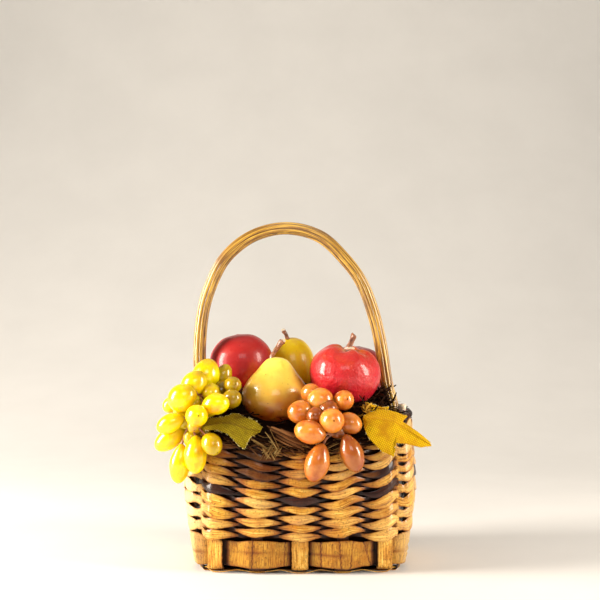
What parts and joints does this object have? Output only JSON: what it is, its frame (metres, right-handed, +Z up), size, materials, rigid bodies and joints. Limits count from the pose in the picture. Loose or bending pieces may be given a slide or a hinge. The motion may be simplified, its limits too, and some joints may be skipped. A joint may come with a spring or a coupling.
{
  "type": "fruit gift basket",
  "caption": "Small woven splint basket with a tall arched handle, filled with artificial pears, red fruit, grapes and fabric leaves.",
  "frame": {"origin": "under the middle of the basket's base, on the surface it stands on", "axes": "+Z up, +X to the right and -Y to the front, as seen from the side with the pear and both bunches of grapes"},
  "size_m": [0.0955, 0.0647, 0.1209],
  "materials": {
    "splint": "flat-cut rattan splint, satin varnish",
    "stained_splint": "dark stained splint, glossy varnish",
    "cane": "grooved cane, glossy lacquer",
    "moss": "dried dark moss, rough",
    "yellow_fruit": "painted, waxy semi-gloss",
    "red_fruit": "painted, waxy semi-gloss",
    "stalk": "brown paper-wrapped stalk, satin",
    "yellow_grape": "translucent wax, glossy",
    "orange_grape": "translucent wax, glossy",
    "leaf_fabric": "plain-woven stiffened fabric, matt"
  },
  "bodies": {
    "root": {"splint_front_back_1": "splint", "splint_front_back_2": "splint", "splint_front_back_3": "splint", "splint_front_back_4": "splint", "splint_front_back_5": "splint", "splint_left_right_1": "splint", "splint_left_right_2": "splint", "splint_left_right_3": "splint", "base_band": "splint", "weaver_01": "splint", "weaver_02": "splint", "weaver_03": "splint", "weaver_04": "splint", "weaver_05": "splint", "weaver_06": "splint", "weaver_07": "splint", "weaver_08": "splint", "weaver_09": "stained_splint", "weaver_10": "splint", "weaver_11": "splint", "weaver_12": "splint", "weaver_13": "splint", "weaver_14": "splint", "weaver_15": "splint", "weaver_16": "splint", "weaver_17": "splint", "weaver_18": "splint", "weaver_19": "splint", "weaver_20": "splint", "rim": "stained_splint", "handle": "cane", "filling": "moss", "pear_front": "yellow_fruit", "pear_front_stem": "stalk", "pear_back": "yellow_fruit", "pear_back_stem": "stalk", "red_fruit_left": "red_fruit", "red_fruit_right": "red_fruit", "red_fruit_right_stem": "stalk", "red_fruit_back": "red_fruit", "grapes_yellow": "yellow_grape", "grapes_orange": "orange_grape", "leaf_left": "leaf_fabric", "leaf_right": "leaf_fabric", "leaf_small": "leaf_fabric"}
  },
  "joints": []
}
